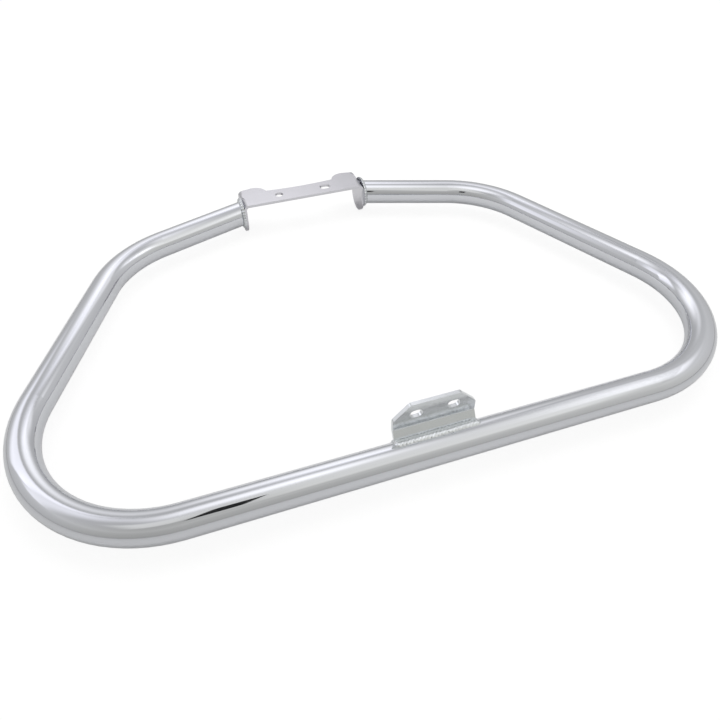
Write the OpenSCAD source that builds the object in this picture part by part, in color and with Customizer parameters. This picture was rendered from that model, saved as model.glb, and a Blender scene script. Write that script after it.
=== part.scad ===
// Front crash bar for a motorcycle: one loop of bent tube, closed at the top by a pressed
// bracket whose ears are welded over the tube's ends, with a slotted bracket on its rail.
// X runs along the bottom rail, Y from the rail to the upper bracket and Z up, in millimetres.
// The origin is under the middle of the bar, at its lowest point.

/* [Tube] */
// Outer diameter of the tube
tube_d = 31.75; // [28:0.25:36]
// Wall thickness of the tube
tube_wall = 2.5; // [1.6:0.1:4]
// Straight length of the bottom rail between its two bends
rail_straight = 464; // [420:2:520]
// Centreline radius of the four bends
bend_r = 127; // [110:1:140]
// Turn of each lower bend, in degrees
lower_turn = 114; // [111:0.5:117]
// Straight length of each leg between its two bends
leg_straight = 186.5; // [140:0.5:240]
// Turn of each upper bend, in degrees
upper_turn = 46.5; // [43:0.5:50]

/* [Upper bracket] */
// Thickness of the pressed plate
plate_t = 3.5; // [3:0.25:4.5]
// Distance between the outer faces of the two ears
ear_span = 169; // [160:1:190]
// Height of the plate's top face over the tube's centreline
plate_rise = 17.5; // [15:0.5:22]
// Distance of the bolt line behind the middle of the tube's ends
bolt_setback = 0.6; // [0:0.1:2]
// Distance from the bolt line to the plate's front edge
front_reach = 15; // [13:0.2:20]
// Distance from the bolt line to the middle of the waist's back edge
waist_reach = 13.8; // [12:0.2:18]
// Radius of the waist's hollow back edge
waist_r = 440; // [300:10:900]
// Distance from the bolt line to the crest of each lobe
lobe_reach = 29.2; // [27:0.2:34]
// Radius of each lobe's shoulder
lobe_r = 17.5; // [14:0.5:20]
// Distance of each lobe's crest from the ear's outer face
lobe_inset = 20.5; // [16.5:0.5:24.5]
// Distance from the bolt line to the back edge of the ears
ear_back = 27; // [24:0.2:27.4]
// Depth of the ears' rounded ends under the tube's centreline
ear_drop = 29; // [24:0.5:36]
// Inner radius of the bend between plate and ear
plate_bend_r = 3.5; // [2:0.25:6]
// Radius of the fillet between waist and lobe
waist_fillet_r = 3; // [1:0.5:6]

/* [Upper bolt holes] */
// Distance between the two holes
bolt_pitch = 65; // [55:0.5:75]
// Diameter of the round hole and width of the slot beside it
bolt_hole_d = 11; // [8:0.25:13]
// End-to-end length of the slot
bolt_slot_length = 14.5; // [13.5:0.25:18]

/* [Lower bracket] */
// Thickness of the folded plate
foot_t = 4; // [3:0.25:5]
// Width of the plate along the rail
foot_w = 80.5; // [70:0.5:110]
// Angle round the rail at which the foot's front face lands, from level, in degrees
foot_landing = 56; // [50:1:66]
// Lean of the slanted foot, from level, in degrees
foot_lean = 58; // [52:0.5:66]
// Length of the slanted foot's front face, from the rail to the fold
foot_length = 11.2; // [9:0.1:16]
// Height of the upright flange's front face over the fold
flange_h = 27; // [24:0.5:36]
// Size of the clipped upper corners
corner_clip = 16; // [8:0.5:20]
// Radius of the flange's rounded corners
corner_r = 3; // [1:0.5:5]
// Inner radius of the fold
fold_r = 4; // [2:0.25:6]

/* [Lower slots] */
// Distance between the middles of the two slots
slot_pitch = 36.4; // [30:0.2:42]
// Width of each slot
slot_w = 9; // [6:0.25:11]
// End-to-end length of each slot
slot_length = 12.5; // [11.5:0.25:16]
// Distance from the flange's top edge to the middle of the slots
slot_drop = 12.3; // [10:0.1:15]

/* [Welds] */
// Leg length of the weld round each tube end
ear_bead = 4.5; // [3:0.25:6]
// Width of the flat weld round the lower bracket's foot
foot_bead = 10; // [8:0.2:11]
// Height of that weld over the rail
foot_bead_h = 2.5; // [2:0.1:3]
// Distance between the ripples of a weld
ripple = 3.8; // [3:0.1:5]

/* [Hidden] */
$fn = 96;

chrome = [0.78, 0.79, 0.82];
plated = [0.70, 0.71, 0.75];
bead_grey = [0.60, 0.61, 0.64];
// Length by which a cutting body runs past what it cuts
over = 60;

// Tube, from the rail's right end round to the right ear
tube_r = tube_d / 2;
// Bends and rounded corners stay this much inside the straight faces that they join
step_in = 0.03;
// Lengths by which a straight laps over the bend, on the tube and on the folded plate
lap = 0.5;
fold_lap = 0.3;
arm_turn = lower_turn + upper_turn;
arm_slope = 180 - arm_turn;
ear_x = ear_span / 2;
function heading(a) = [cos(a), sin(a)];
function chord(r, a, b) = r * [sin(b) - sin(a), cos(a) - cos(b)];
arm_start = [rail_straight / 2, 0] + chord(bend_r, 0, lower_turn)
    + leg_straight * heading(lower_turn) + chord(bend_r, lower_turn, arm_turn);
arm_length = (arm_start.x - ear_x) / cos(arm_slope);
// Middle of the tube's ends, and the line of the upper bolt holes
arm_end_y = arm_start.y + arm_length * sin(arm_slope);
bolt_y = arm_end_y + bolt_setback;

// Upper bracket
plate_bottom = plate_rise - plate_t;
bend_outer_r = plate_bend_r + plate_t;
ear_top = plate_rise - bend_outer_r;
plate_end_x = ear_x - bend_outer_r;
ear_w = front_reach + ear_back;
ear_mid_y = (ear_back - front_reach) / 2;
ear_mid_z = ear_w / 2 - ear_drop;
lobe_x = ear_x - lobe_inset;
lobe_y = lobe_reach - lobe_r;
// The lobe's back edge runs from the shoulder straight to the ear's back corner
lobe_corner = [plate_end_x, ear_back];
lobe_gap = lobe_corner - [lobe_x, lobe_y];
lobe_tangent = atan2(lobe_gap.y, lobe_gap.x) + acos(lobe_r / norm(lobe_gap));
// Where circles of radius ra and rb round a and b meet, on the left of the line from a to b
function meet(a, ra, b, rb) =
    let (ab = b - a, d = norm(ab), u = ab / d, s = (d * d + ra * ra - rb * rb) / (2 * d))
    a + s * u + sqrt(ra * ra - s * s) * [-u.y, u.x];
waist_centre = [0, waist_reach + waist_r];
fillet_centre = meet([lobe_x, lobe_y], lobe_r + waist_fillet_r,
                     waist_centre, waist_r - waist_fillet_r);

// Lower bracket, in the plane across the rail as [y, z]
landing = tube_r * heading(foot_landing);
fold = landing + foot_length * heading(foot_lean);
flange_top = fold.y + flange_h;
fold_turn = 90 - foot_lean;
// The bend's centre lies in front of the flange, level with the bend's upper end
fold_centre = [fold.x - fold_r, fold.y + fold_r * tan(fold_turn / 2)];
slot_z = flange_top - slot_drop;
// Where the foot's back face lands on the rail
back_offset = landing + foot_t * [sin(foot_lean), -cos(foot_lean)];
back_run = back_offset * heading(foot_lean);
back_landing = back_offset + heading(foot_lean)
    * (sqrt(back_run * back_run + tube_r * tube_r - back_offset * back_offset) - back_run);
back_angle = atan2(back_landing.y, back_landing.x);

// Flat weld on the rail: a round bead that is sunk under the rail's surface
bead_half_angle = asin(foot_bead / 2 / tube_r);
bead_crown = foot_bead_h + tube_r * (1 - cos(bead_half_angle));
bead_r = (foot_bead * foot_bead / 4 + bead_crown * bead_crown) / (2 * bead_crown);
bead_centre_r = tube_r + foot_bead_h - bead_r;
// The beads reach a little way under the plate
front_bead = foot_landing + 0.8 * bead_half_angle;
back_bead = back_angle - 0.8 * bead_half_angle;

// Whole bar
back_y = bolt_y + lobe_reach;
mid_y = (back_y - tube_r) / 2;
low_z = -max(ear_drop, tube_r);

module place() {
    translate([0, -mid_y, -low_z]) children();
}

module from_bolt_line() {
    place() translate([0, bolt_y, 0]) children();
}

module both_sides() {
    children();
    mirror([1, 0, 0]) children();
}

// Tube. Each straight and bend is drawn along +X from its own start.

module ahead(length) {
    translate([length, 0, 0]) children();
}

module past_bend(turn) {
    translate([0, bend_r, 0]) rotate([0, 0, turn]) translate([0, -bend_r, 0]) children();
}

module at_leg() {
    ahead(rail_straight / 2) past_bend(lower_turn) children();
}

module at_arm() {
    at_leg() ahead(leg_straight) past_bend(upper_turn) children();
}

module tube_section(inset) {
    difference() {
        circle(r = tube_r - inset, $fn = 48);
        circle(r = tube_r - tube_wall + inset, $fn = 48);
    }
}

module rod(length) {
    rotate([90, 0, 90]) linear_extrude(length) circle(r = tube_r);
}

// A straight laps a little way over the bend at each of its ends
module straight(length) {
    ahead(-lap) rotate([90, 0, 90]) linear_extrude(length + 2 * lap) tube_section(0);
}

module bend(turn) {
    translate([0, bend_r, 0]) rotate([0, 0, -90])
        rotate_extrude(angle = turn, $fn = 48) translate([bend_r, 0]) tube_section(step_in);
}

module guard_tube() {
    color(chrome) place() difference() {
        union() {
            ahead(-rail_straight / 2) straight(rail_straight);
            both_sides() {
                ahead(rail_straight / 2) bend(lower_turn);
                at_leg() {
                    straight(leg_straight);
                    ahead(leg_straight) bend(upper_turn);
                }
                at_arm() straight(arm_length + tube_r);
            }
        }
        // No tube is left between the ears' outer faces
        translate([-ear_x, arm_end_y - over, -over]) cube([ear_span, 2 * over, 2 * over]);
    }
}

// Upper bracket, drawn from the bolt line

module waist_fillet() {
    to_lobe = [lobe_x, lobe_y] - fillet_centre;
    difference() {
        polygon([fillet_centre, [fillet_centre.x, lobe_y], [lobe_x, lobe_y]]);
        translate(fillet_centre) circle(r = waist_fillet_r);
        translate(waist_centre) circle(r = waist_r, $fn = 720);
    }
}

module half_plate_outline() {
    difference() {
        translate([0, -front_reach]) square([plate_end_x, front_reach + waist_reach + waist_fillet_r]);
        translate(waist_centre) circle(r = waist_r, $fn = 720);
    }
    translate([lobe_x, lobe_y]) circle(r = lobe_r);
    polygon([[lobe_x, -front_reach], [plate_end_x, -front_reach], lobe_corner,
             [lobe_x, lobe_y] + lobe_r * heading(lobe_tangent), [lobe_x, lobe_y]]);
    waist_fillet();
}

// The round hole is on the left and the slot on the right
module bolt_holes() {
    slot_half = (bolt_slot_length - bolt_hole_d) / 2;
    translate([0, 0, -over]) {
        translate([-bolt_pitch / 2, 0]) cylinder(h = 2 * over, d = bolt_hole_d);
        translate([bolt_pitch / 2, 0]) {
            for (x = [-slot_half, slot_half]) translate([x, 0]) cylinder(h = 2 * over, d = bolt_hole_d);
            translate([-slot_half, -bolt_hole_d / 2]) cube([2 * slot_half, bolt_hole_d, 2 * over]);
        }
    }
}

module ear_bend() {
    translate([plate_end_x, ear_back, ear_top]) rotate([90, 0, 0]) linear_extrude(ear_w)
        intersection() {
            difference() {
                circle(r = bend_outer_r);
                circle(r = plate_bend_r);
            }
            square(bend_outer_r);
        }
}

module ear() {
    translate([ear_x - plate_t, ear_mid_y, 0]) rotate([90, 0, 90]) linear_extrude(plate_t) {
        translate([0, ear_mid_z]) circle(d = ear_w);
        translate([-ear_w / 2, ear_mid_z]) square([ear_w, ear_top - ear_mid_z]);
    }
}

module upper_bracket() {
    color(plated) from_bolt_line() {
        difference() {
            translate([0, 0, plate_bottom]) linear_extrude(plate_t) both_sides() half_plate_outline();
            bolt_holes();
        }
        both_sides() {
            ear_bend();
            ear();
        }
    }
}

// Lower bracket

// Section across the rail: upright flange, fold and slanted foot
module folded_section() {
    translate(fold_centre) {
        translate([fold_r, -fold_lap]) square([foot_t, flange_top - fold_centre.y + fold_lap]);
        rotate(-fold_turn) translate([fold_r, -tube_d]) square([foot_t, tube_d + fold_lap]);
        intersection() {
            difference() {
                circle(r = fold_r + foot_t - step_in);
                circle(r = fold_r + step_in);
            }
            polygon([[0, 0], [over, 0], over * heading(-fold_turn)]);
        }
    }
}

// Flange seen along the rail's normal, with clipped and rounded upper corners
module flange_outline() {
    side = foot_w / 2;
    turn_in = corner_r * tan(22.5);
    clip = [side - corner_r, flange_top - corner_clip - turn_in];
    peak = [side - corner_clip - turn_in, flange_top - corner_r];
    edge = [[side, -over], [side, clip.y], clip + corner_r * heading(45),
            peak + corner_r * heading(45), [peak.x, flange_top]];
    polygon(concat(edge, [for (k = [len(edge) - 1 : -1 : 0]) [-edge[k].x, edge[k].y]]));
    both_sides() {
        translate(clip) circle(r = corner_r - step_in);
        translate(peak) circle(r = corner_r - step_in);
    }
}

module lower_slots() {
    slot_half = (slot_length - slot_w) / 2;
    for (side = [-1, 1]) translate([side * slot_pitch / 2, over, slot_z]) rotate([90, 0, 0]) {
        for (x = [-slot_half, slot_half]) translate([x, 0]) cylinder(h = 2 * over, d = slot_w);
        translate([-slot_half, -slot_w / 2]) cube([2 * slot_half, slot_w, 2 * over]);
    }
}

module rail_solid() {
    ahead(-rail_straight / 2) rod(rail_straight);
}

module lower_plate() {
    difference() {
        intersection() {
            translate([-foot_w / 2, 0, 0]) rotate([90, 0, 90]) linear_extrude(foot_w) folded_section();
            translate([0, over, 0]) rotate([90, 0, 0]) linear_extrude(2 * over) flange_outline();
        }
        rail_solid();
        below_landing();
        lower_slots();
    }
}

// Everything under the rail's axis, where the cut foot would come out again
module below_landing() {
    translate([-foot_w, -over, -2 * over]) cube([2 * foot_w, 2 * over, 2 * over]);
}

module lower_bracket() {
    color(plated) place() lower_plate();
}

// Welds, each a row of overlapping beads cut to the pieces that it joins

ear_ripples = ceil(2 * PI * tube_r / ripple);
foot_ripples = ceil(foot_w / ripple);

module bead(r) {
    sphere(r = r, $fn = 32);
}

module right_ear_bead() {
    difference() {
        translate([ear_x, arm_end_y, 0]) for (k = [0 : ear_ripples - 1]) {
            w = 360 * k / ear_ripples;
            translate([0, tube_r * cos(w) / cos(arm_slope), tube_r * sin(w)]) bead(ear_bead);
        }
        at_arm() rod(arm_length + tube_r);
        translate([ear_x - 2 * over, arm_end_y - over, -over]) cube(2 * over);
    }
}

module right_ear_weld() {
    color(bead_grey) place() right_ear_bead();
}

module left_ear_weld() {
    color(bead_grey) place() mirror([1, 0, 0]) right_ear_bead();
}

// Place on the rail, at an angle round it, where a bead of the flat weld has its middle
module on_rail(x, angle) {
    translate([x, bead_centre_r * cos(angle), bead_centre_r * sin(angle)]) children();
}

module foot_weld() {
    end_x = foot_w / 2 - foot_bead / 4;
    color(bead_grey) place() difference() {
        union() {
            for (k = [0 : foot_ripples], angle = [front_bead, back_bead])
                on_rail(end_x * (2 * k / foot_ripples - 1), angle) bead(bead_r);
            for (x = [-end_x, end_x], k = [1, 2])
                on_rail(x, front_bead + (back_bead - front_bead) * k / 3) bead(bead_r);
        }
        rail_solid();
        lower_plate();
    }
}

guard_tube();
upper_bracket();
lower_bracket();
left_ear_weld();
right_ear_weld();
foot_weld();
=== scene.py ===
from collections import namedtuple

import bmesh
import bpy
from bpy.props import FloatProperty, FloatVectorProperty, PointerProperty
from mathutils import Matrix, Vector

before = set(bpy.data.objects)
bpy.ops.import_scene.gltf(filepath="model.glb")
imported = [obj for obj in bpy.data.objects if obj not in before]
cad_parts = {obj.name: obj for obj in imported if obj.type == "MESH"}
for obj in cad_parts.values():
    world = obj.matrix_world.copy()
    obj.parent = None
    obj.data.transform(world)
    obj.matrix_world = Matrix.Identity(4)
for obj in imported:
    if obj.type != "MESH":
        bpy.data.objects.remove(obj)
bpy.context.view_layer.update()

bl_info = {
    "name": "Chrome Crash Bar",
    "version": (1, 0, 0),
    "blender": (4, 5, 0),
    "location": "View3D > Sidebar > Crash Bar",
    "description": "Plates a bent tube crash bar in chrome and sets up a white studio for it",
    "category": "Object",
}


# Node tools that the finishes and the stage share

def empty_tree(data):
    """Node tree of a material or a world, with nothing in it."""
    data.use_nodes = True
    data.node_tree.nodes.clear()
    return data.node_tree


def new_material(name):
    """A material with only a shader and an output."""
    material = bpy.data.materials.new(name)
    tree = empty_tree(material)
    output = tree.nodes.new("ShaderNodeOutputMaterial")
    output.location = (600, 0)
    shader = tree.nodes.new("ShaderNodeBsdfPrincipled")
    shader.location = (300, 0)
    tree.links.new(shader.outputs["BSDF"], output.inputs["Surface"])
    return material, shader


def calculate(tree, operation, *values):
    """A Math node on numbers or sockets."""
    node = tree.nodes.new("ShaderNodeMath")
    node.operation = operation
    for socket, value in zip(node.inputs, values):
        if isinstance(value, (int, float)):
            socket.default_value = value
        else:
            tree.links.new(value, socket)
    return node.outputs["Value"]


def stretch(tree, value, span, result, smooth=False):
    """Takes a value from one span to another, in a straight line or as a smooth step."""
    node = tree.nodes.new("ShaderNodeMapRange")
    if smooth:
        node.interpolation_type = "SMOOTHSTEP"
    node.inputs["From Min"].default_value, node.inputs["From Max"].default_value = span
    node.inputs["To Min"].default_value, node.inputs["To Max"].default_value = result
    tree.links.new(value, node.inputs["Value"])
    return node


# Chrome plating

# Clouds: the noise's scale and detail, the share of the tone in the darkest cloud, and the
# shares of the roughness in the clearest and in the dullest
Clouds = namedtuple("Clouds", "scale detail dark clear dull")
# Relief: the noise's scale and detail, the bump's strength, and its depth in metres
Relief = namedtuple("Relief", "scale detail strength depth")
# Most of a noise's values lie between these two
NOISE_SPAN = (0.3, 0.7)


def noise(material, scale, detail, location):
    """Noise on the object's own coordinates, in metres."""
    tree = material.node_tree
    place = tree.nodes.get("Metres") or tree.nodes.new("ShaderNodeTexCoord")
    place.name = "Metres"
    place.location = (-1100, 0)
    texture = tree.nodes.new("ShaderNodeTexNoise")
    texture.location = location
    texture.inputs["Scale"].default_value = scale
    texture.inputs["Detail"].default_value = detail
    tree.links.new(place.outputs["Object"], texture.inputs["Vector"])
    return texture.outputs["Fac"]


def bump(material, relief, row, under=None):
    """Bumps of one relief, laid over the bumps that are under it."""
    tree = material.node_tree
    node = tree.nodes.new("ShaderNodeBump")
    node.location = (-400, row)
    node.inputs["Strength"].default_value = relief.strength
    node.inputs["Distance"].default_value = relief.depth
    height = noise(material, relief.scale, relief.detail, (-850, row))
    tree.links.new(height, node.inputs["Height"])
    if under:
        tree.links.new(under, node.inputs["Normal"])
    return node.outputs["Normal"]


def chrome(name, tone, roughness, clouds, broad, fine):
    """Chrome whose tone and blur vary in clouds, over a broad and a fine relief."""
    material, shader = new_material(name)
    tree = material.node_tree
    shader.inputs["Metallic"].default_value = 1
    cloud = noise(material, clouds.scale, clouds.detail, (-850, 300))
    mix = tree.nodes.new("ShaderNodeMix")
    mix.data_type = "RGBA"
    mix.location = (0, 300)
    mix.inputs[6].default_value = (*(clouds.dark * channel for channel in tone), 1)
    mix.inputs[7].default_value = (*tone, 1)
    tree.links.new(cloud, mix.inputs["Factor"])
    tree.links.new(mix.outputs[2], shader.inputs["Base Color"])
    blur = stretch(tree, cloud, NOISE_SPAN, (clouds.clear * roughness, clouds.dull * roughness))
    blur.location = (0, 50)
    tree.links.new(blur.outputs["Result"], shader.inputs["Roughness"])
    under = bump(material, broad, -500)
    tree.links.new(bump(material, fine, -200, under), shader.inputs["Normal"])
    return material


def finish_node(name, material):
    """Gives a CAD node its finish."""
    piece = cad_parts[name]
    piece.data.materials.clear()
    piece.data.materials.append(material)


# Settings

class TubePlating(bpy.types.PropertyGroup):
    """Finish of the polished tube."""
    tone: FloatVectorProperty(
        name="Chrome Tone", description="Colour that the polished chrome gives what it reflects",
        subtype="COLOR", size=3, min=0, max=1, default=(0.64, 0.65, 0.682))
    roughness: FloatProperty(
        name="Roughness", description="Blur of the polished chrome", subtype="FACTOR",
        min=0, max=1, default=0.045)
    waviness: FloatProperty(
        name="Waviness", description="Height of the slight waves that polishing leaves",
        subtype="DISTANCE", unit="LENGTH", min=0, max=0.001, precision=6, default=0.00004)


class BracketPlating(bpy.types.PropertyGroup):
    """Finish of the two pressed brackets."""
    tone: FloatVectorProperty(
        name="Upper Tone", description="Colour that the upper bracket gives what it reflects",
        subtype="COLOR", size=3, min=0, max=1, default=(0.625, 0.62, 0.655))
    roughness: FloatProperty(
        name="Upper Roughness", description="Blur of the upper bracket's plating",
        subtype="FACTOR", min=0, max=1, default=0.16)
    lower_tone: FloatVectorProperty(
        name="Lower Tone", description="Colour that the lower bracket gives what it reflects",
        subtype="COLOR", size=3, min=0, max=1, default=(0.71, 0.73, 0.745))
    lower_roughness: FloatProperty(
        name="Lower Roughness", description="Blur of the lower bracket's plating",
        subtype="FACTOR", min=0, max=1, default=0.15)
    grain: FloatProperty(
        name="Grain", description="Depth of the rolled sheet's grain under the plating",
        subtype="DISTANCE", unit="LENGTH", min=0, max=0.0005, precision=6, default=0.00002)


class WeldPlating(bpy.types.PropertyGroup):
    """Finish of the plated weld beads."""
    tone: FloatVectorProperty(
        name="Bead Tone", description="Colour that the plated bead gives what it reflects",
        subtype="COLOR", size=3, min=0, max=1, default=(0.70, 0.72, 0.74))
    roughness: FloatProperty(
        name="Roughness", description="Blur of the plated bead", subtype="FACTOR",
        min=0, max=1, default=0.14)
    pitting: FloatProperty(
        name="Pitting", description="Depth of the pits and spatter on the bead",
        subtype="DISTANCE", unit="LENGTH", min=0, max=0.001, precision=6, default=0.0002)


class Studio(bpy.types.PropertyGroup):
    """White studio round the crash bar."""
    wall_level: FloatProperty(
        name="Wall Level", description="Brightness of the studio's walls and ceiling",
        min=0, max=2, default=1)
    softbox_glow: FloatProperty(
        name="Softbox Glow", description="Share of their full glow that the softboxes give",
        min=0, max=3, default=1)
    lamp_power: FloatProperty(
        name="Lamp Power", description="Power of the overhead lamp that gives the shadow",
        unit="POWER", min=0, max=200, default=10)


# Pieces

class CRASHBAR_OT_plate_tube(bpy.types.Operator):
    """Plate the bent tube in polished chrome"""
    bl_idname = "crashbar.plate_tube"
    bl_label = "Plate Tube"

    def execute(self, context):
        plating = context.scene.crashbar_tube
        haze = Clouds(scale=26, detail=4, dark=0.975, clear=0.75, dull=1.35)
        waves = Relief(scale=14, detail=1, strength=1, depth=plating.waviness)
        polishing = Relief(scale=900, detail=2, strength=0.04, depth=plating.waviness / 40)
        finish_node("guard_tube", chrome("Polished Chrome Tube", plating.tone,
                                         plating.roughness, haze, waves, polishing))
        return {"FINISHED"}


class CRASHBAR_OT_plate_brackets(bpy.types.Operator):
    """Plate the upper and lower brackets over their rolled sheet grain"""
    bl_idname = "crashbar.plate_brackets"
    bl_label = "Plate Brackets"

    def execute(self, context):
        plating = context.scene.crashbar_brackets
        cloudy = Clouds(scale=60, detail=5, dark=0.92, clear=0.8, dull=1.3)
        grain = Relief(scale=700, detail=4, strength=0.3, depth=plating.grain)
        pressed = Relief(scale=45, detail=1, strength=1, depth=4 * plating.grain)
        folded = pressed._replace(depth=14 * plating.grain)
        finish_node("upper_bracket", chrome("Plated Upper Bracket", plating.tone,
                                            plating.roughness, cloudy, pressed, grain))
        finish_node("lower_bracket", chrome("Plated Lower Bracket", plating.lower_tone,
                                            plating.lower_roughness, cloudy, folded, grain))
        return {"FINISHED"}


class CRASHBAR_OT_plate_welds(bpy.types.Operator):
    """Plate the weld beads over their pits and ripples"""
    bl_idname = "crashbar.plate_welds"
    bl_label = "Plate Welds"

    def execute(self, context):
        plating = context.scene.crashbar_welds
        stains = Clouds(scale=220, detail=4, dark=0.8, clear=0.7, dull=1.6)
        lumps = Relief(scale=190, detail=2, strength=1, depth=4 * plating.pitting)
        pits = Relief(scale=480, detail=3, strength=0.7, depth=plating.pitting)
        bead = chrome("Plated Weld Bead", plating.tone, plating.roughness, stains, lumps, pits)
        for name in ("left_ear_weld", "right_ear_weld", "foot_weld"):
            finish_node(name, bead)
        return {"FINISHED"}


# Stage

# Softboxes: name, middle, direction that they face, half sizes, soft edges, glow and colour
BACK, DOWN = (0, -1, 0), (0, 0, -1)
NEUTRAL, COOL, WARM = (1.0, 0.995, 1.03), (0.985, 0.98, 1.08), (1.0, 1.0, 0.96)
SOFTBOXES = (
    ("Front", (0.0, 0.95, 0.75), BACK, (0.55, 0.65), (0.50, 0.60), 0.72, NEUTRAL),
    ("Front Right", (0.45, 0.80, 0.95), BACK, (0.55, 0.65), (0.45, 0.60), 0.42, NEUTRAL),
    ("Front Left", (-1.25, 0.90, 1.10), BACK, (0.75, 0.80), (0.25, 0.60), 0.64, COOL),
    ("Overhead", (-0.10, 0.10, 1.45), DOWN, (0.70, 0.65), (0.60, 0.60), 0.77, NEUTRAL),
    ("Overhead Far", (0.30, 1.15, 1.50), DOWN, (0.70, 0.70), (0.60, 0.60), 0.40, COOL),
    ("Left", (-1.45, 0.50, 1.35), DOWN, (1.05, 0.65), (0.45, 0.60), 0.50, COOL),
    ("Right", (1.05, -0.10, 1.05), DOWN, (0.65, 0.75), (0.60, 0.60), 0.86, NEUTRAL),
    ("Rear", (0.45, -0.65, 1.05), DOWN, (0.80, 0.95), (0.40, 0.55), 0.35, WARM),
    ("Rear Left", (-0.65, -0.75, 1.50), DOWN, (0.75, 0.50), (0.60, 0.30), 0.36, WARM),
)
# Tone of the studio's walls by the sine of the height over the horizon
WALL_TONES = ((0.10, 0.62), (0.25, 0.65), (0.40, 0.68), (0.55, 0.75), (0.70, 0.68),
              (0.85, 0.63), (1.0, 0.63))
# How much the walls brighten at two opposite corners, and toward +X and toward +Y
CORNER_SWING = 0.10
SLANT = (0.075, 0.03)
# Span along Y over which the wall behind the camera turns warm
WARM_SPAN = (0.1, -0.7)

# The floor's radius, and the painted pool of light on it: the floor's colour, as the chrome
# mirrors it, falls with the distance from the middle in place of the light's own falloff
FLOOR_RADIUS = 6
FLOOR_SPAN, PAINTED_FLOOR_FALLOFF = (0.2, 1.2), (0.98, 0.60)
# What the camera sees of the floor: its own glow, and a share of grey that takes the shadow
FLOOR_GLOW, FLOOR_GREY = 0.86, 0.2

LAMP_PLACE, LAMP_SIZE = (0.3, 0.4, 1.9), (1.6, 1.2)

CAMERA_PLACE = (-0.189353, -0.563541, 0.498840)
CAMERA_TURN = (0.803330, 0.003114, -0.336471)
LENS, SENSOR = 32.5225, 36
# The body behind the lens, in the camera's own axes
BODY_MIDDLE, BODY_SIZE, BODY_EDGE = (-0.022, 0.045, 0), (0.098, 0.20, 0.05), 0.012


def stage_object(scene, shape, name, material):
    """An object from a bmesh, in the scene."""
    mesh = bpy.data.meshes.new(name.replace("_", " "))
    shape.to_mesh(mesh)
    shape.free()
    mesh.materials.append(material)
    piece = bpy.data.objects.new(name, mesh)
    scene.collection.objects.link(piece)
    return piece


def reflections_only(piece):
    """Leaves an object in reflections and hides it from everything else."""
    piece.visible_camera = False
    piece.visible_diffuse = False
    piece.visible_shadow = False


def seen_apart(tree, seen, mirrored, output):
    """Shows the camera one shader and everything else another."""
    path = tree.nodes.new("ShaderNodeLightPath")
    mix = tree.nodes.new("ShaderNodeMixShader")
    tree.links.new(path.outputs["Is Camera Ray"], mix.inputs["Fac"])
    tree.links.new(mirrored, mix.inputs[1])
    tree.links.new(seen, mix.inputs[2])
    tree.links.new(mix.outputs["Shader"], tree.nodes.new(output).inputs["Surface"])


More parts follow.
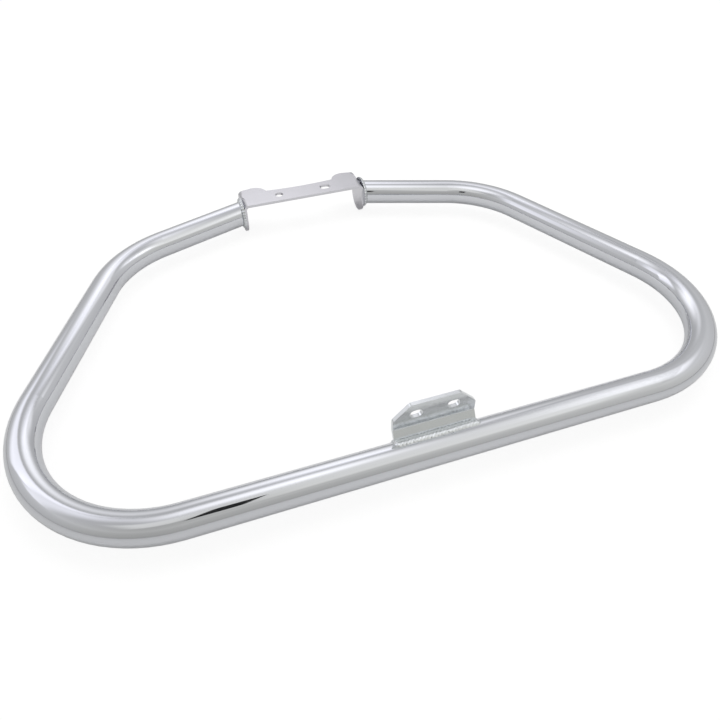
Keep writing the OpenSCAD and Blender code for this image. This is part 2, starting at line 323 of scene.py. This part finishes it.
class CRASHBAR_OT_set_stage(bpy.types.Operator):
    """Lay the white floor, light the studio and set up the camera"""
    bl_idname = "crashbar.set_stage"
    bl_label = "Set Stage"

    def execute(self, context):
        studio = context.scene.crashbar_studio
        scene = context.scene
        scene.view_settings.view_transform = "Standard"
        self.room(scene, studio)
        self.floor(scene)
        for name, middle, facing, half, soft, glow, colour in SOFTBOXES:
            self.softbox(scene, name, middle, facing, half, soft, glow * studio.softbox_glow,
                         colour)
        self.lamp(scene, studio)
        self.camera(scene)
        self.camera_body(scene)
        return {"FINISHED"}

    def room(self, scene, studio):
        """Studio whose walls change tone with the height and from corner to corner."""
        world = bpy.data.worlds.new("Studio Room")
        tree = empty_tree(world)
        place = tree.nodes.new("ShaderNodeTexCoord")
        split = tree.nodes.new("ShaderNodeSeparateXYZ")
        tree.links.new(place.outputs["Generated"], split.inputs["Vector"])
        x, y, z = split.outputs
        ramp = tree.nodes.new("ShaderNodeValToRGB")
        for height, _ in WALL_TONES[1:-1]:
            ramp.color_ramp.elements.new(0.5 + 0.5 * height)
        for element, (height, tone) in zip(ramp.color_ramp.elements, WALL_TONES):
            element.position = 0.5 + 0.5 * height
            element.color = (tone, tone, tone, 1)
        tree.links.new(calculate(tree, "MULTIPLY_ADD", z, 0.5, 0.5), ramp.inputs["Fac"])
        tint = tree.nodes.new("ShaderNodeMix")
        tint.data_type = "RGBA"
        tint.blend_type = "MULTIPLY"
        tint.inputs[7].default_value = (*WARM, 1)
        behind = stretch(tree, y, WARM_SPAN, (0, 1), smooth=True)
        tree.links.new(behind.outputs["Result"], tint.inputs["Factor"])
        tree.links.new(ramp.outputs["Color"], tint.inputs[6])
        walls = tree.nodes.new("ShaderNodeBackground")
        tree.links.new(tint.outputs[2], walls.inputs["Color"])
        sides = calculate(tree, "ADD", self.corners(tree, x, y), 1)
        tree.links.new(calculate(tree, "MULTIPLY", sides, studio.wall_level),
                       walls.inputs["Strength"])
        white = tree.nodes.new("ShaderNodeBackground")
        white.inputs["Color"].default_value = (1, 1, 1, 1)
        seen_apart(tree, white.outputs["Background"], walls.outputs["Background"],
                   "ShaderNodeOutputWorld")
        scene.world = world

    def corners(self, tree, x, y):
        """Swing of the walls' brightness round the room, and its slant across it."""
        across, along = calculate(tree, "MULTIPLY", x, x), calculate(tree, "MULTIPLY", y, y)
        reach = calculate(tree, "SQRT", calculate(tree, "ADD", across, along))
        sides = calculate(tree, "SUBTRACT", along, across)
        corner = calculate(tree, "MULTIPLY", calculate(tree, "MULTIPLY", x, y), 2)
        swing = calculate(tree, "MULTIPLY", calculate(tree, "ADD", sides, corner), -CORNER_SWING)
        slant = calculate(tree, "ADD", calculate(tree, "MULTIPLY", x, SLANT[0]),
                          calculate(tree, "MULTIPLY", y, SLANT[1]))
        return calculate(tree, "ADD", calculate(tree, "DIVIDE", swing, reach), slant)

    def floor(self, scene):
        """Round white floor that shows as white and still takes the bar's shadow."""
        material = bpy.data.materials.new("White Floor")
        tree = empty_tree(material)
        place = tree.nodes.new("ShaderNodeTexCoord")
        reach = tree.nodes.new("ShaderNodeVectorMath")
        reach.operation = "LENGTH"
        tree.links.new(place.outputs["Object"], reach.inputs[0])
        # Painted pool of light: the colour that reflections see darkens with the distance from the
        # middle
        painted_falloff = stretch(tree, reach.outputs["Value"], FLOOR_SPAN, PAINTED_FLOOR_FALLOFF)
        paper = tree.nodes.new("ShaderNodeBsdfDiffuse")
        tree.links.new(painted_falloff.outputs["Result"], paper.inputs["Color"])
        shaded = tree.nodes.new("ShaderNodeBsdfDiffuse")
        shaded.inputs["Color"].default_value = (FLOOR_GREY, FLOOR_GREY, FLOOR_GREY, 1)
        glow = tree.nodes.new("ShaderNodeEmission")
        glow.inputs["Strength"].default_value = FLOOR_GLOW
        white = tree.nodes.new("ShaderNodeAddShader")
        tree.links.new(shaded.outputs["BSDF"], white.inputs[0])
        tree.links.new(glow.outputs["Emission"], white.inputs[1])
        seen_apart(tree, white.outputs["Shader"], paper.outputs["BSDF"],
                   "ShaderNodeOutputMaterial")
        shape = bmesh.new()
        bmesh.ops.create_circle(shape, cap_ends=True, radius=FLOOR_RADIUS, segments=96)
        floor = stage_object(scene, shape, "Studio_Floor", material)

    def softbox(self, scene, name, middle, facing, half, soft, glow, colour):
        """Panel with soft edges that only reflections see."""
        turn = Vector(facing).to_track_quat("Z", "Y").to_matrix().to_4x4()
        material = bpy.data.materials.new(name + " Softbox")
        tree = empty_tree(material)
        place = tree.nodes.new("ShaderNodeTexCoord")
        inward = tree.nodes.new("ShaderNodeVectorMath")
        inward.operation = "SUBTRACT"
        inward.inputs[1].default_value = middle
        tree.links.new(place.outputs["Object"], inward.inputs[0])
        fades = []
        for axis, reach, edge in zip(turn.to_3x3().col, half, soft):
            along = tree.nodes.new("ShaderNodeVectorMath")
            along.operation = "DOT_PRODUCT"
            along.inputs[1].default_value = axis
            tree.links.new(inward.outputs["Vector"], along.inputs[0])
            away = calculate(tree, "ABSOLUTE", along.outputs["Value"])
            fade = stretch(tree, away, (reach, reach - edge), (0, 1), smooth=True)
            fades.append(fade.outputs["Result"])
        lit = tree.nodes.new("ShaderNodeEmission")
        lit.inputs["Color"].default_value = (*colour, 1)
        tree.links.new(calculate(tree, "MULTIPLY", calculate(tree, "MULTIPLY", *fades), glow),
                       lit.inputs["Strength"])
        clear = tree.nodes.new("ShaderNodeBsdfTransparent")
        both = tree.nodes.new("ShaderNodeAddShader")
        tree.links.new(lit.outputs["Emission"], both.inputs[0])
        tree.links.new(clear.outputs["BSDF"], both.inputs[1])
        output = tree.nodes.new("ShaderNodeOutputMaterial")
        tree.links.new(both.outputs["Shader"], output.inputs["Surface"])
        shape = bmesh.new()
        bmesh.ops.create_grid(shape, x_segments=1, y_segments=1, size=1)
        size = Matrix.Diagonal((*half, 1, 1))
        bmesh.ops.transform(shape, matrix=Matrix.Translation(middle) @ turn @ size,
                            verts=shape.verts)
        panel = stage_object(scene, shape, name + "_Softbox", material)
        reflections_only(panel)

    def lamp(self, scene, studio):
        """Wide overhead lamp, hidden from reflections because the studio has its own softboxes."""
        data = bpy.data.lights.new("Overhead", "AREA")
        data.shape = "RECTANGLE"
        data.size, data.size_y = LAMP_SIZE
        data.energy = studio.lamp_power
        lamp = bpy.data.objects.new("Overhead", data)
        lamp.location = LAMP_PLACE
        lamp.rotation_euler = (-lamp.location).to_track_quat("-Z", "Y").to_euler()
        lamp.visible_glossy = False
        scene.collection.objects.link(lamp)

    def camera(self, scene):
        """Camera at the height and angle of a seated view over the rail."""
        data = bpy.data.cameras.new("Camera")
        data.sensor_fit = "HORIZONTAL"
        data.sensor_width = SENSOR
        data.lens = LENS
        data.clip_end = 50
        camera = bpy.data.objects.new("Camera", data)
        camera.location = CAMERA_PLACE
        camera.rotation_euler = CAMERA_TURN
        scene.collection.objects.link(camera)
        scene.camera = camera

    def camera_body(self, scene):
        """Black camera body behind the lens, for the dark streak that the tube mirrors."""
        shape = bmesh.new()
        bmesh.ops.create_cube(shape, size=1)
        turn = scene.camera.rotation_euler.to_matrix().to_4x4()
        place = Matrix.Translation(CAMERA_PLACE) @ turn @ Matrix.Translation(BODY_MIDDLE)
        size = Matrix.Diagonal((*BODY_SIZE, 1))
        bmesh.ops.transform(shape, matrix=place @ size, verts=shape.verts)
        bmesh.ops.bevel(shape, geom=shape.edges, offset=BODY_EDGE, offset_type="OFFSET",
                        segments=3, profile=0.5, affect="EDGES", material=-1)
        material, shader = new_material("Black Camera Body")
        shader.inputs["Base Color"].default_value = (0.01, 0.01, 0.011, 1)
        shader.inputs["Roughness"].default_value = 0.6
        body = stage_object(scene, shape, "Camera_Body", material)
        reflections_only(body)


class CRASHBAR_PT_panel(bpy.types.Panel):
    """Finishes and stage of the crash bar"""
    bl_idname = "CRASHBAR_PT_panel"
    bl_label = "Crash Bar"
    bl_space_type = "VIEW_3D"
    bl_region_type = "UI"
    bl_category = "Crash Bar"

    def draw(self, context):
        for operator, settings in STEPS:
            box = self.layout.box()
            group = getattr(context.scene, settings)
            for name in group.__annotations__:
                box.prop(group, name)
            box.operator(operator.bl_idname)


STEPS = (
    (CRASHBAR_OT_plate_tube, "crashbar_tube"),
    (CRASHBAR_OT_plate_brackets, "crashbar_brackets"),
    (CRASHBAR_OT_plate_welds, "crashbar_welds"),
    (CRASHBAR_OT_set_stage, "crashbar_studio"),
)
SETTINGS = {
    "crashbar_tube": TubePlating,
    "crashbar_brackets": BracketPlating,
    "crashbar_welds": WeldPlating,
    "crashbar_studio": Studio,
}
CLASSES = (*SETTINGS.values(), *(operator for operator, _ in STEPS), CRASHBAR_PT_panel)


def register():
    for cls in CLASSES:
        bpy.utils.register_class(cls)
    for name, group in SETTINGS.items():
        setattr(bpy.types.Scene, name, PointerProperty(type=group))


def unregister():
    for name in SETTINGS:
        delattr(bpy.types.Scene, name)
    for cls in reversed(CLASSES):
        bpy.utils.unregister_class(cls)


def main():
    register()
    bpy.ops.crashbar.plate_tube()
    bpy.ops.crashbar.plate_brackets()
    bpy.ops.crashbar.plate_welds()
    bpy.ops.crashbar.set_stage()


if __name__ == "__main__":
    main()
